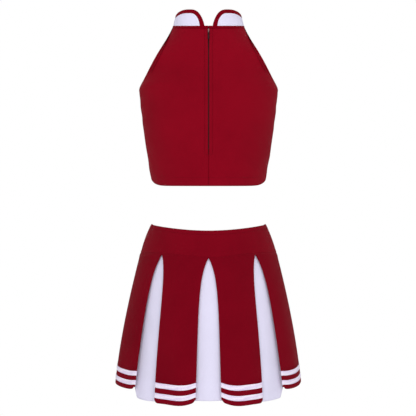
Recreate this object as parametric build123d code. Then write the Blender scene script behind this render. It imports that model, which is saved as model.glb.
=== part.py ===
from build123d import *
from math import asin, cos, exp, log, pi, radians, sin
import os

# A two-piece cheer uniform, held up as it is worn: a sleeveless zip-back top
# with a stand collar, and below it a pleated skirt on a smooth yoke.
# Millimetres. The origin is the centre of the skirt's waist, +Z is up, the
# garment's back faces -Y and the wearer's right is +X.
# Angles round the body start at centre back and grow towards the wearer's right.

# Cloth and trims
CLOTH = 1.2
LINING = 0.7
TRIM = 0.5
LAYER_GAP = 0.25
SEAM_GAP = 0.4
COLUMNS = 12
ROWS = 14
COLLAR_COLUMNS = 48

# Skirt
WAIST_HALF_WIDTH = 129.0
WAIST_HALF_DEPTH = 93.0
YOKE_WIDTH_FLARE = (0.47, -0.0019)
YOKE_DEPTH_FLARE = (0.36, -0.0007)
PLEAT_WIDTH_FLARE = (0.268, -0.00021)
PLEAT_DEPTH_FLARE = (0.19, -0.0002)
YOKE_DEPTH = 60.0
FRONT_WAIST_DIP = 26.0
SKIRT_LENGTH = 361.5
UNITS = 8
UNIT_ANGLE = 2 * pi / UNITS
PANEL_LENGTH = SKIRT_LENGTH - YOKE_DEPTH
INSET_RISE = 9.0
INSET_RECESS_TOP = 2.2
INSET_RECESS_HEM = 10.0
GAP_HALF_WIDTH = 19.5
GAP_CURVE_LENGTH = 36.0
GAP_FLARE = 0.032
UNDERLAY_TOP = 10.0
UNDERLAY_HEM = 38.0
FACING_DEPTH = 2.7
ELASTIC_THICKNESS = 1.0
ELASTIC_HEIGHT = 25.0
ELASTIC_DROP = 4.0
RIBBON_HEIGHT = 12.0
RIBBON_GAP = 10.0
RIBBON_HEM_DISTANCE = 10.0

# Top
TOP_HEM = 90.5
HEM_CORNER_RISE = 12.0
UNDERARM = 300.0
SHOULDER_HALF_WIDTH = 78.0
SHOULDER_FLARE = (0.42, 0.00128)
CHEST_HALF_WIDTH = 154.0
SIDE_TAPER = 0.14
SIDE_BOW = 2.5
EDGE_SOFTNESS = 6.0
NECK_SIDE = 437.5
ARMHOLE_TOP = 447.0
NECK_BACK_DROP = 11.0
NECK_FRONT_DROP = 47.0
ARMHOLE_TURN = radians(36)
BUST_HEIGHT = 262.0
FRONT_DEPTH = 85.0
BUST_DEPTH = 31.0
BUST_SPREAD = 75.0
NECK_DEPTH = 36.0
NECK_CENTRE = -24.0
HEM_FACING_HEIGHT = 18.0
ARMHOLE_FACING_TURN = radians(4)
ARMHOLE_FACING_GAP = 1.4
NECK_LEVEL_STEPS = 40

# Collar
COLLAR_SIDE_HEIGHT = 25.0
COLLAR_CREST_HEIGHT = 37.0
COLLAR_CREST_X = 45.0
COLLAR_END_X = 9.0
COLLAR_END_HEIGHT = 9.0
COLLAR_LEAN = 0.19
COLLAR_CLOTH = 1.4
BINDING_HEIGHT = 3.0
PIPING_HEIGHT = 4.0

# Back zip and the cloth beside it, which folds outwards when the zip is open
ZIP_BOTTOM = 160.0
ZIP_TOP = 426.5
ZIP_BOTTOM_Y = -98.0
ZIP_TOP_Y = -84.0
ZIP_EDGE = 2.2
FOLD_TOP_X = 43.0
FOLD_SLIT = 4.2
TAPE_EDGE = 1.9
TAPE_WIDTH = 10.0
TAPE_THICKNESS = 0.5
TAPE_DEPTH = 2.9
COIL_WIDTH = 1.4
COIL_HEIGHT = 1.0
COIL_START = 36.0
SLIDER_LENGTH = 10.0
SLIDER_WIDTH = 7.2
SLIDER_BELOW_TOP = 4.0
PLATE_THICKNESS = 1.0
PLATE_GAP = 0.2
BRIDGE_WIDTH = 1.5
TAB_LENGTH = 18.0
TAB_WIDTH = 3.2
TAB_THICKNESS = 0.9
TAB_RING_LENGTH = 4.5
TAB_CHEEK = 0.6
PIVOT_DROP = 5.0
PIVOT_HEIGHT = 1.65
PIN_RADIUS = 0.5
BORE_RADIUS = 0.75
STOP_LENGTH = 2.0
TOOL_REACH = 200.0
TOOL_TOP = 520.0

ZIP_LENGTH = ((ZIP_TOP - ZIP_BOTTOM) ** 2 + (ZIP_TOP_Y - ZIP_BOTTOM_Y) ** 2) ** 0.5


def smooth(t):
    """0 below t = 0, 1 above t = 1, with a soft change between."""
    t = min(max(t, 0.0), 1.0)
    return t * t * (3 - 2 * t)


def mix(start, end, t):
    return start + (end - start) * t


def flare(slopes, length):
    """How much wider a shape gets over a length, from its two slopes."""
    return slopes[0] * length + slopes[1] * length**2


def sheet(point, thickness, columns=COLUMNS, rows=ROWS):
    """A thin solid whose outer face follows point(u, v), for u and v from 0 to 1.

    u runs towards the wearer's right round the back and v runs downwards, so a
    positive thickness lies inside the face.
    """
    grid = [
        [point(i / columns, j / rows) for j in range(rows + 1)]
        for i in range(columns + 1)
    ]
    return Solid.thicken(Face.make_surface_from_array_of_points(grid), thickness)


def save(shape, name):
    export_step(shape, "parts/" + name + ".step")


# ---------------------------------------------------------------- skirt


def skirt_half_width(drop):
    """Half the skirt's width at this distance below the waist."""
    if drop <= YOKE_DEPTH:
        return WAIST_HALF_WIDTH + flare(YOKE_WIDTH_FLARE, drop)
    return skirt_half_width(YOKE_DEPTH) + flare(PLEAT_WIDTH_FLARE, drop - YOKE_DEPTH)


def skirt_half_depth(drop):
    """Half the skirt's depth, front to back, at this distance below the waist."""
    if drop <= YOKE_DEPTH:
        return WAIST_HALF_DEPTH + flare(YOKE_DEPTH_FLARE, drop)
    return skirt_half_depth(YOKE_DEPTH) + flare(PLEAT_DEPTH_FLARE, drop - YOKE_DEPTH)


def skirt_point(turn, drop, inside=0.0):
    """A point of the skirt; equal steps of turn are nearly equal lengths of cloth."""
    across = skirt_half_width(drop) - inside
    deep = skirt_half_depth(drop) - inside
    angle = turn - (across - deep) / (2 * (across + deep)) * sin(2 * turn)
    return Vector(across * sin(angle), -deep * cos(angle), -drop)


def turn_for(length, drop):
    """The turn that this length of cloth covers."""
    return 2 * length / (skirt_half_width(drop) + skirt_half_depth(drop))


def opening_half_width(below):
    """Half the gap between two panels at this distance below the yoke."""
    return GAP_HALF_WIDTH * (1 - exp(-below / GAP_CURVE_LENGTH)) + GAP_FLARE * below


def waist_drop(turn):
    """How far the top edge is below the origin: the front of the waist dips."""
    return FRONT_WAIST_DIP * smooth(max(-cos(turn), 0.0))


def yoke_band(start_turn, inside, thickness, top_margin, height=None):
    """Half of a band round the waist, under its top edge."""

    def point(u, v):
        turn = start_turn + pi * u
        top = waist_drop(turn) + top_margin
        bottom = YOKE_DEPTH if height is None else top + height
        return skirt_point(turn, mix(top, bottom, v), inside)

    return sheet(point, thickness, columns=2 * COLUMNS)


def make_yoke():
    side_gap = turn_for(SEAM_GAP / 2, YOKE_DEPTH)
    for name, middle in (("back", 0.0), ("front", pi)):
        start = middle - pi / 2
        outer = yoke_band(start, 0.0, CLOTH, 0.0)
        facing = yoke_band(start, FACING_DEPTH, LINING, 1.0)
        cutter = Pos(0, 0, -YOKE_DEPTH / 2) * Box(4 * TOOL_REACH, SEAM_GAP, TOOL_REACH)
        save(outer - cutter, "yoke_" + name)
        save(facing - cutter, "yoke_facing_" + name)
    band_inside = CLOTH + LAYER_GAP
    halves = [
        yoke_band(start, band_inside, ELASTIC_THICKNESS, ELASTIC_DROP, ELASTIC_HEIGHT)
        for start in (-pi / 2, pi / 2)
    ]
    save(halves[0] + halves[1], "waist_elastic")


def panel_point(number, inside, start, end):
    """Points of one maroon panel between two distances below the yoke."""
    middle = (number - 0.5) * UNIT_ANGLE

    def point(u, v):
        below = mix(start, end, v)
        drop = YOKE_DEPTH + below
        half = UNIT_ANGLE / 2 - turn_for(opening_half_width(below) + SEAM_GAP, drop)
        return skirt_point(middle + mix(-half, half, u), drop, inside)

    return point


def make_panel(number):
    save(sheet(panel_point(number, 0.0, SEAM_GAP, PANEL_LENGTH), CLOTH), f"skirt_panel_{number}")


def make_ribbons(number):
    """Two satin ribbons sewn across a panel near its hem."""
    lower_end = PANEL_LENGTH - RIBBON_HEM_DISTANCE
    upper_end = lower_end - RIBBON_HEIGHT - RIBBON_GAP
    ribbons = [
        sheet(panel_point(number, -LAYER_GAP, end - RIBBON_HEIGHT, end), -TRIM, rows=4)
        for end in (upper_end, lower_end)
    ]
    save(Compound(ribbons), f"panel_ribbons_{number}")


def make_inset(number):
    """The white gusset behind the gap between two panels."""
    middle = (number - 1) * UNIT_ANGLE

    def point(u, v):
        below = mix(SEAM_GAP, PANEL_LENGTH - INSET_RISE, v)
        drop = YOKE_DEPTH + below
        share = below / PANEL_LENGTH
        recess = mix(INSET_RECESS_TOP, INSET_RECESS_HEM, share)
        width = opening_half_width(below) + mix(UNDERLAY_TOP, UNDERLAY_HEM, share)
        half = turn_for(width, drop)
        return skirt_point(middle + mix(-half, half, u), drop, recess)

    save(sheet(point, CLOTH), f"skirt_inset_{number}")


# ---------------------------------------------------------------- top


def edge_half_width(height):
    """Half the width of the top, seen from behind, at this height."""
    shoulder = SHOULDER_HALF_WIDTH + flare(SHOULDER_FLARE, NECK_SIDE - height)
    down = UNDERARM - height
    share = min(max(down / (UNDERARM - TOP_HEM), 0.0), 1.0)
    side = CHEST_HALF_WIDTH - SIDE_TAPER * down + SIDE_BOW * sin(pi * share)
    return -EDGE_SOFTNESS * log(exp(-shoulder / EDGE_SOFTNESS) + exp(-side / EDGE_SOFTNESS))


def edge_angle(height):
    """The angle at which the back ends: the side seam, or the armhole above it."""
    share = (height - UNDERARM) / (ARMHOLE_TOP - UNDERARM)
    return pi / 2 - ARMHOLE_TURN * sin(pi * min(max(share, 0.0), 1.0)) ** 2


def centre_y(height):
    return NECK_CENTRE * smooth((height - UNDERARM) / (NECK_SIDE - UNDERARM))


def back_y(height):
    """The centre back is straight along the zip."""
    slope = (ZIP_TOP_Y - ZIP_BOTTOM_Y) / (ZIP_TOP - ZIP_BOTTOM)
    return ZIP_BOTTOM_Y + slope * (height - ZIP_BOTTOM)


def front_y(height):
    """How far the front stands out: most at the bust, least at the neck."""
    if height < BUST_HEIGHT:
        return FRONT_DEPTH + BUST_DEPTH * exp(-(((height - BUST_HEIGHT) / BUST_SPREAD) ** 2))
    share = (height - BUST_HEIGHT) / (NECK_SIDE - BUST_HEIGHT)
    return mix(NECK_DEPTH, FRONT_DEPTH + BUST_DEPTH, cos(pi / 2 * share) ** 2)


def torso_point(angle, height, inside=0.0):
    """A point of the top at this angle from centre back."""
    across = edge_half_width(height) / sin(edge_angle(height)) - inside
    middle = centre_y(height)
    deep = middle - back_y(height) if cos(angle) >= 0 else front_y(height) - middle
    return Vector(across * sin(angle), middle - (deep - inside) * cos(angle), height)


def neck_height(angle):
    """The neck seam: highest at the sides, and lower in front than behind."""
    front = max(-cos(angle), 0.0)
    return NECK_SIDE - NECK_BACK_DROP * cos(angle) - (NECK_BACK_DROP + NECK_FRONT_DROP) * front**1.6


def neck_level(share, middle, below):
    """The height of the shell this far below the neck seam, at a share of a half turn."""
    level = NECK_SIDE
    for _ in range(NECK_LEVEL_STEPS):
        level = neck_height(middle + share * edge_angle(level)) - below
    return level


def hem_height(angle):
    return TOP_HEM + HEM_CORNER_RISE * abs(sin(angle)) ** 14


def body_point(start, end, middle=0.0, inside=0.0, top=0.0, bottom=0.0, height=None):
    """Points of the top's shell between two shares of a half turn about middle.

    top and bottom are kept free at the neck seam and the hem; a height takes
    only that much above the hem.
    """

    def point(u, v):
        share = mix(start, end, u)
        hem = hem_height(middle + share * pi / 2) + bottom
        neck = neck_level(share, middle, top)
        level = mix(hem + height, hem, v) if height else mix(neck, hem, v)
        return torso_point(middle + share * edge_angle(level), level, inside)

    return point


def fold_zone(side, margin):
    """Everything between the zip and the line that the cloth folds along."""
    rise = TOOL_TOP - ZIP_BOTTOM
    slope = FOLD_TOP_X / (ZIP_TOP - ZIP_BOTTOM)
    edge = ZIP_EDGE if margin < 0 else 0.0
    start = ZIP_BOTTOM + max(edge - margin, 0.0) / slope
    corners = [
        (side * edge, start),
        (side * (slope * rise + margin), TOOL_TOP),
        (side * edge, TOOL_TOP),
    ]
    if margin > 0:
        corners.insert(1, (side * margin, ZIP_BOTTOM))
        corners[0] = (side * -1.0, ZIP_BOTTOM)
        corners[-1] = (side * -1.0, TOOL_TOP)
    face = make_face(Plane.XZ * Polyline(*corners, close=True))
    return extrude(face, amount=TOOL_REACH, dir=(0, -1, 0))


def split_at_fold(shape, side):
    """The part that stays with the body, and the part that swings with the flap."""
    stays = shape - fold_zone(side, FOLD_SLIT / 2)
    swings = shape & fold_zone(side, -FOLD_SLIT / 2)
    return stays, swings


SIDES = (("right", 1), ("left", -1))


def largest_solid(shape):
    return max(shape.solids(), key=lambda solid: solid.volume)


def make_shell():
    half_gap = 0.003
    for name, side in SIDES:
        start, end = (half_gap, 1 - half_gap) if side > 0 else (half_gap - 1, -half_gap)
        shell = sheet(
            body_point(start, end, top=PIPING_HEIGHT / 2 + SEAM_GAP),
            CLOTH,
        )
        stays, swings = split_at_fold(shell, side)
        save(largest_solid(stays), f"top_back_panel_{name}")
        save(largest_solid(swings), f"top_back_flap_{name}")
    front = sheet(
        body_point(half_gap - 1, 1 - half_gap, middle=pi, top=PIPING_HEIGHT / 2 + SEAM_GAP),
        CLOTH,
        columns=2 * COLUMNS,
    )
    save(front, "top_front_panel")


def make_facings():
    """The turned hem and the tapes that finish the armholes, inside the shell."""
    inside = CLOTH + LAYER_GAP
    half_gap = 0.002
    for name, middle in (("back", 0.0), ("front", pi)):
        point = body_point(
            half_gap - 1,
            1 - half_gap,
            middle=middle,
            inside=inside,
            bottom=0.5,
            height=HEM_FACING_HEIGHT,
        )
        save(sheet(point, LINING, columns=2 * COLUMNS, rows=4), f"top_hem_facing_{name}")
    low = UNDERARM + 4
    high = NECK_SIDE - 14
    for name, side in SIDES:
        strips = []
        for is_back in (True, False):

            def point(u, v):
                level = mix(high, low, v)
                edge = edge_angle(level)
                angle = edge - ARMHOLE_FACING_TURN * mix(1.0, 0.1, u)
                turn = angle if is_back else pi - angle
                return torso_point(side * turn, level, inside + ARMHOLE_FACING_GAP)

            inwards = LINING if (side > 0) == is_back else -LINING
            strips.append(sheet(point, inwards, columns=3, rows=2 * ROWS))
        save(Compound(strips), f"armhole_facing_{name}")


# ---------------------------------------------------------------- collar


def collar_height(angle):
    """The collar's height: full over the shoulder blades, none beside the zip."""
    x = abs(torso_point(angle, neck_height(angle)).X)
    if cos(angle) < 0 or x > COLLAR_CREST_X:
        share = smooth((abs(sin(angle / 2)) ** 2 - 0.1) / 0.4)
        return mix(COLLAR_CREST_HEIGHT, COLLAR_SIDE_HEIGHT, share)
    span = COLLAR_CREST_X - COLLAR_END_X
    left = min((COLLAR_CREST_X - x) / span, 1.0)
    return mix(COLLAR_END_HEIGHT, COLLAR_CREST_HEIGHT, 1 - left**2.5)


def collar_point(angle, height, inside=0.0):
    """A point of the collar, which leans in a little as it rises."""
    base = torso_point(angle, neck_height(angle), inside + COLLAR_LEAN * height)
    return base + Vector(0, 0, height)


def collar_band(start, end, inside, thickness, lower, upper):
    """A band round the neck; lower and upper give its edges at an angle."""

    def rail(limit, depth):
        angles = [mix(start, end, i / COLLAR_COLUMNS) for i in range(COLLAR_COLUMNS + 1)]
        return Edge.make_spline([collar_point(angle, limit(angle), depth) for angle in angles])

    outer = [rail(lower, inside), rail(upper, inside)]
    inner = [rail(upper, inside + thickness), rail(lower, inside + thickness)]
    rails = outer + inner
    faces = [Face.make_surface_from_curves(rails[i], rails[(i + 1) % 4]) for i in range(4)]
    for place in (0, 1):
        ends = [curve @ place for curve in rails]
        near = Edge.make_line(ends[0], ends[1])
        far = Edge.make_line(ends[3], ends[2])
        faces.append(Face.make_surface_from_curves(near, far))
    return Solid(Shell(faces))


def collar_start(x):
    """The angle at which the neck seam is this far from the centre back."""
    return asin(x / (edge_half_width(ZIP_TOP) / sin(edge_angle(ZIP_TOP))))


def make_neck_layer(name, inside, thickness, lower, upper, first_x):
    """One layer of the collar, cut into the piece that stays and its two ends."""
    start = collar_start(first_x)
    band = collar_band(start, 2 * pi - start, inside, thickness, lower, upper)
    for side_name, side in SIDES:
        save(largest_solid(band & fold_zone(side, -FOLD_SLIT / 2)), f"{name}_end_{side_name}")
    for _, side in SIDES:
        band = largest_solid(band - fold_zone(side, FOLD_SLIT / 2))
    save(band, name)


def make_collar():
    foot = PIPING_HEIGHT / 2 + SEAM_GAP

    def cloth_top(angle):
        return collar_height(angle) - BINDING_HEIGHT - SEAM_GAP

    def binding_foot(angle):
        return collar_height(angle) - BINDING_HEIGHT

    make_neck_layer("collar_outer", 0.0, COLLAR_CLOTH, lambda a: foot, cloth_top, COLLAR_END_X)
    lining_inside = COLLAR_CLOTH + LAYER_GAP
    make_neck_layer("collar_lining", lining_inside, LINING, lambda a: foot, cloth_top, COLLAR_END_X)
    make_neck_layer("collar_binding", 0.0, 2.2, binding_foot, collar_height, COLLAR_END_X)
    half = PIPING_HEIGHT / 2
    make_neck_layer("neck_piping", -0.4, 2.0, lambda a: -half, lambda a: half, ZIP_EDGE)


# ---------------------------------------------------------------- back zip


def zip_plane():
    """Local axes of the zip: X across, Y up along it, Z outwards from the cloth."""
    along = Vector(0, ZIP_TOP_Y - ZIP_BOTTOM_Y, ZIP_TOP - ZIP_BOTTOM)
    outwards = Vector(0, -along.Z, along.Y)
    return Plane(origin=(0, ZIP_BOTTOM_Y, ZIP_BOTTOM), x_dir=(1, 0, 0), z_dir=outwards)


def block(x_range, y_range, z_range):
    """A box in the zip's axes."""
    size = [high - low for low, high in (x_range, y_range, z_range)]
    centre = [(high + low) / 2 for low, high in (x_range, y_range, z_range)]
    return zip_plane() * Pos(*centre) * Box(*size)


def across(side, near, far):
    return (near, far) if side > 0 else (-far, -near)


def make_zip_half(name, side):
    slope = FOLD_TOP_X / ZIP_LENGTH
    far = TAPE_EDGE + TAPE_WIDTH
    tape_low = (TAPE_EDGE + 3.0) / slope
    tape_full = (far + 2.0) / slope
    outline = [
        (side * TAPE_EDGE, tape_low),
        (side * (TAPE_EDGE + 1.0), tape_low),
        (side * far, tape_full),
        (side * far, ZIP_LENGTH - STOP_LENGTH),
        (side * TAPE_EDGE, ZIP_LENGTH - STOP_LENGTH),
    ]
    face = make_face(Polyline(*outline, close=True))
    tape = zip_plane() * Pos(0, 0, -TAPE_DEPTH) * extrude(face, amount=TAPE_THICKNESS, dir=(0, 0, 1))
    save(tape, f"zip_tape_{name}")
    coil_floor = TAPE_THICKNESS - TAPE_DEPTH + 0.1
    coil_x = across(side, TAPE_EDGE, TAPE_EDGE + COIL_WIDTH)
    coil_z = (coil_floor, coil_floor + COIL_HEIGHT)
    coil_top = ZIP_LENGTH - 2 * STOP_LENGTH - 0.2
    save(block(coil_x, (COIL_START, coil_top), coil_z), f"zip_coil_{name}")
    save(block(coil_x, (coil_top + 0.1, coil_top + 0.1 + STOP_LENGTH), coil_z), f"zip_top_stop_{name}")


def make_slider():
    """A plate behind the tapes, a thin bridge between them and a bail for the tab."""
    top = ZIP_LENGTH - SLIDER_BELOW_TOP
    bottom = top - SLIDER_LENGTH
    plate_top = -TAPE_DEPTH - PLATE_GAP
    plate_z = (plate_top - PLATE_THICKNESS, plate_top)
    plate = block((-SLIDER_WIDTH / 2, SLIDER_WIDTH / 2), (bottom, top), plate_z)
    bridge = block((-BRIDGE_WIDTH / 2, BRIDGE_WIDTH / 2), (top - 4.0, top), (plate_top, 0.8))
    bail = block((-BRIDGE_WIDTH / 2, BRIDGE_WIDTH / 2), (top - 7.0, top), (0.3, 3.0))
    bore = zip_plane() * Pos(0, top - PIVOT_DROP, PIVOT_HEIGHT) * Rot(0, 90, 0)
    bore *= Cylinder(BORE_RADIUS, SLIDER_WIDTH)
    save(plate + bridge + bail - bore, "zip_slider")


def make_tab():
    """The pull tab, with a ring end whose bar passes through the bail."""
    pivot = ZIP_LENGTH - SLIDER_BELOW_TOP - PIVOT_DROP
    half = TAB_WIDTH / 2
    bar = zip_plane() * Pos(0, pivot, PIVOT_HEIGHT) * Rot(0, 90, 0) * Cylinder(PIN_RADIUS, TAB_WIDTH)
    low = pivot - TAB_RING_LENGTH
    layer = (PIVOT_HEIGHT - TAB_THICKNESS / 2, PIVOT_HEIGHT + TAB_THICKNESS / 2)
    cheeks = [block(across(side, half - TAB_CHEEK, half), (low, pivot), layer) for _, side in SIDES]
    leaf = block((-half, half), (pivot - TAB_LENGTH, low), layer)
    save(bar + cheeks[0] + cheeks[1] + leaf, "zip_pull_tab")


def make_zip():
    for name, side in SIDES:
        make_zip_half(name, side)
    stop_z = (-TAPE_DEPTH, -TAPE_DEPTH + COIL_HEIGHT)
    save(block((-COIL_WIDTH, COIL_WIDTH), (-STOP_LENGTH - 1.0, -1.0), stop_z), "zip_bottom_stop")
    make_slider()
    make_tab()


os.makedirs("parts", exist_ok=True)
make_yoke()
for unit in range(1, UNITS + 1):
    make_panel(unit)
    make_ribbons(unit)
    make_inset(unit)
make_shell()
make_facings()
make_collar()
make_zip()
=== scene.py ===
from math import pi, radians

import bpy
import numpy as np
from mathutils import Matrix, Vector


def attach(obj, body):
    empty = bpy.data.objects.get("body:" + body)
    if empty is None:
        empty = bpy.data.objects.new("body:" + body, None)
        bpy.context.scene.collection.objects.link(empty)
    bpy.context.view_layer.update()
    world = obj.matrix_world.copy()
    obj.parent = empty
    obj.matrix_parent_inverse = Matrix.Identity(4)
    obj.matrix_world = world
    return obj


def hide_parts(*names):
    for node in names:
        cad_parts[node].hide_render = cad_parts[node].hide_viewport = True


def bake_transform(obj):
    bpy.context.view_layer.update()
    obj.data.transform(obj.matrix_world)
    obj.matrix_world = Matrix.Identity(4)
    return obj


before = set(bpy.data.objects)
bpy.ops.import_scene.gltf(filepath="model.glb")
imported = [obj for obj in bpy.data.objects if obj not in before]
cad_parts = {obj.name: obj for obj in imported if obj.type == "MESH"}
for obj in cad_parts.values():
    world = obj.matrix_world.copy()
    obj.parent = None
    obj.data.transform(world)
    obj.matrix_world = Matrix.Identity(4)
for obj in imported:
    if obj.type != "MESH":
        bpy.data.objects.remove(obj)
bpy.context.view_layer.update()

# A two-piece cheer uniform. The shapes below are in millimetres in the frame's axes,
# and MM turns them into metres where a mesh is made. Angles round the body start at
# centre back and grow towards the wearer's right, which is +X.
MM = 0.001
SIDES = (("right", 1), ("left", -1))
# Times a place on the body, this points out of it: the body is wider than it is deep.
OUTWARD = np.array([1.0, 1.6, 0.0])

# The least width in metres, and share of its rectangle, that a sheet's size and area are worked out with
NARROWEST_SHEET = 0.01
LEAST_AREA_SHARE = 0.31

# Skirt: half sizes at the waist, and how they grow down the yoke and down the pleats.
# A flare is the yoke's slope and its easing per mm, then the pleats' slope and easing.
WAIST_HALF_WIDTH = 130.0
WAIST_HALF_DEPTH = 93.0
WIDTH_FLARE = (0.47, 0.0019, 0.267, 0.00026)
DEPTH_FLARE = (0.36, 0.0007, 0.19, 0.0002)
UNITS = 8
UNIT_ANGLE = 2 * pi / UNITS
YOKE_DEPTH = 60.0
FRONT_WAIST_DIP = 26.0
WAIST_SIDE_RISE = 5.0
WAIST_BACK_SAG = 4.0
SEAM_RISE = 1.0
SEAM_POINT_RISE = 5.5
ELASTIC_TOP = 4.0
ELASTIC_DEPTH = 22.0
WAIST_STITCH_DROP = 8.0

# Panels and the gussets between them
PANEL_LENGTH = 303.0
TUCK = 2.5
OPENING_HALF = 19.5
OPENING_REACH = 36.0
OPENING_SLOPE = 0.032
SIDE_HEM_RISE = 22.5
PANEL_FLARE_START = 0.53
INSET_FLARE_START = 0.8
HEM_BOW = 4.0
HEM_TILT = 4.2
HEM_CORNER = 6.0
BACK_PANEL_EXTRA = 4.5
SEAM_FOLD_RADIUS = 0.75
HEM_FOLD_RADIUS = 1.7
INSET_RISE = 9.0
UNDERLAY_TOP = 10.0
UNDERLAY_HEM = 38.0

# Ribbons
RIBBON_HEIGHT = 10.3
RIBBON_GAP = 10.6
RIBBON_HEM_DISTANCE = 10.0
RIBBON_LIFT = 0.4
PANEL_STITCH_GAPS = (2.5, 6.0)

# Top: the outline seen from behind, from the hem up to the neck
TOP_HEM = 90.0
HEM_CORNER_RISE = 12.0
HEM_BAND = 18.0
UNDERARM = 300.0
CHEST_HALF_WIDTH = 154.0
SIDE_TAPER = 0.14
RIB_BULGE = 2.5
RIB_SPAN = 208.0
NECK_SIDE = 437.5
NECK_HALF_WIDTH = 77.0
SHOULDER_SLOPE = 0.42
SHOULDER_CURVE = 0.00128
UNDERARM_SOFTNESS = 3.4
NECK_BACK_DROP = 11.0
NECK_FRONT_DROP = 47.0
ARMHOLE_TOP = 440.0
ARMHOLE_TURN = radians(36)
SHELL_BELOW_NECK = 1.2
UPPER_ROWS = 90
LOWER_ROWS = 70

# Top: how far the front stands out from the body's axis
BUST_HEIGHT = 262.0
BUST_SPREAD = 75.0
BUST_OUT = 31.0
BELLY_Y = 85.0
NECK_FRONT_Y = 36.0
NECK_CENTRE = -24.0

# Collar
COLLAR_SIDE_HEIGHT = 25.0
COLLAR_CREST_HEIGHT = 37.0
COLLAR_CREST_X = 45.0
COLLAR_END_X = 8.8
COLLAR_LEAN = 0.19
COLLAR_NARROWING = 0.0012
COLLAR_RADIUS = 70.0

# Zip, and the line beside it where the cloth folds back. PLACKET is how far from the
# centre the zip is stitched down.
ZIP_BOTTOM = 160.0
ZIP_TOP = 426.5
ZIP_BOTTOM_Y = -98.0
ZIP_TOP_Y = -84.0
PLACKET = 8.0
COIL_START = 8.0
COIL_PITCH = 1.5
TAPE_WIDTH = 12.0
TAPE_DEPTH = 1.9
TAPE_SPARE = 1.5
TAPE_TAIL = 4.0
SLIDER_REST = 4.0


# -------------------- curves


def smooth(t):
    """0 below 0, 1 above 1, and a soft step between."""
    t = np.clip(t, 0.0, 1.0)
    return t * t * (3 - 2 * t)


def mix(start, end, t):
    return start + (end - start) * t


def bell(distance, width):
    """1 on the line, and nothing a few widths to either side."""
    return np.exp(-((distance / width) ** 2))


def fade(distance, reach):
    """1 at an edge, falling away inside it."""
    return np.exp(-distance / reach)


def stack(x, y, z):
    return np.stack(np.broadcast_arrays(x, y, z), axis=-1).astype(float)


# -------------------- skirt's shape


def flared(waist, flare, drop):
    """A half size of the skirt, this far down from the waist."""
    yoke_slope, yoke_ease, pleat_slope, pleat_ease = flare
    above = np.minimum(drop, YOKE_DEPTH)
    below = np.maximum(drop - YOKE_DEPTH, 0.0)
    yoke = waist + yoke_slope * above - yoke_ease * above**2
    return yoke + pleat_slope * below - pleat_ease * below**2


def skirt_half_width(drop):
    return flared(WAIST_HALF_WIDTH, WIDTH_FLARE, drop)


def skirt_half_depth(drop):
    return flared(WAIST_HALF_DEPTH, DEPTH_FLARE, drop)


def skirt_point(turn, drop, inside=0.0):
    """Even steps of turn are nearly even lengths round the skirt."""
    across = skirt_half_width(drop) - inside
    deep = skirt_half_depth(drop) - inside
    angle = turn - (across - deep) / (2 * (across + deep)) * np.sin(2 * turn)
    return stack(across * np.sin(angle), -deep * np.cos(angle), -drop)


def turn_for(length, drop):
    """The turn that goes this length round the skirt."""
    return 2 * length / (skirt_half_width(drop) + skirt_half_depth(drop))


def opening_half_width(below):
    """Half the gap between two panels: a pointed arch that widens slowly to the hem."""
    arch = OPENING_HALF * (1 - np.exp(-np.maximum(below, 0.0) / OPENING_REACH))
    return arch + OPENING_SLOPE * below


def waist_drop(turn):
    """The waist edge: sagging at the back, high at the sides, dipping at the front."""
    sag = mix(-WAIST_SIDE_RISE, WAIST_BACK_SAG, np.maximum(np.cos(turn), 0.0) ** 2)
    dip = FRONT_WAIST_DIP + WAIST_SIDE_RISE
    return sag + dip * smooth(np.maximum(-np.cos(turn), 0.0))


def seam_rise(turn):
    """The yoke seam lifts a little at each gusset's point."""
    return SEAM_RISE + SEAM_POINT_RISE * np.sin(2 * turn) ** 2


def side_rise(turn, start):
    """A hem rides up where the pleats flare out at the wearer's sides."""
    return SIDE_HEM_RISE * smooth((np.abs(np.sin(turn)) - start) / (1 - start))


def inset_hem_rise(turn):
    """The gussets' hems hang level, except at the wearer's sides."""
    return side_rise(turn, INSET_FLARE_START) - INSET_RISE * np.sin(2 * turn) ** 2


# -------------------- top's shape


def edge_half_width(height):
    """The outline from behind: the shoulder's slope meets the side in a soft corner."""
    rise = NECK_SIDE - height
    shoulder = NECK_HALF_WIDTH + SHOULDER_SLOPE * rise + SHOULDER_CURVE * rise**2
    down = UNDERARM - height
    bulge = RIB_BULGE * np.sin(pi * np.clip(down, 0, RIB_SPAN) / RIB_SPAN)
    side = CHEST_HALF_WIDTH - SIDE_TAPER * down + bulge
    soft = UNDERARM_SOFTNESS
    return -soft * np.log(np.exp(-shoulder / soft) + np.exp(-side / soft))


def edge_angle(height):
    """How far round the body the back reaches: less than a quarter beside the armhole."""
    share = np.clip((height - UNDERARM) / (ARMHOLE_TOP - UNDERARM), 0.0, 1.0)
    return pi / 2 - ARMHOLE_TURN * np.sin(pi * share) ** 2


def centre_y(height):
    return NECK_CENTRE * smooth((height - UNDERARM) / (NECK_SIDE - UNDERARM))


def back_y(height):
    slope = (ZIP_TOP_Y - ZIP_BOTTOM_Y) / (ZIP_TOP - ZIP_BOTTOM)
    return ZIP_BOTTOM_Y + slope * (height - ZIP_BOTTOM)


def front_y(height):
    bust_y = BELLY_Y + BUST_OUT
    low = BELLY_Y + BUST_OUT * bell(height - BUST_HEIGHT, BUST_SPREAD)
    share = (height - BUST_HEIGHT) / (NECK_SIDE - BUST_HEIGHT)
    high = NECK_FRONT_Y + (bust_y - NECK_FRONT_Y) * np.cos(pi / 2 * share) ** 2
    return np.where(height < BUST_HEIGHT, low, high)


def torso_point(angle, height, inside=0.0):
    across = edge_half_width(height) / np.sin(edge_angle(height)) - inside
    middle = centre_y(height)
    is_back = np.cos(angle) >= 0
    deep = np.where(is_back, middle - back_y(height), front_y(height) - middle)
    return stack(across * np.sin(angle), middle - (deep - inside) * np.cos(angle), height)


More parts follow.
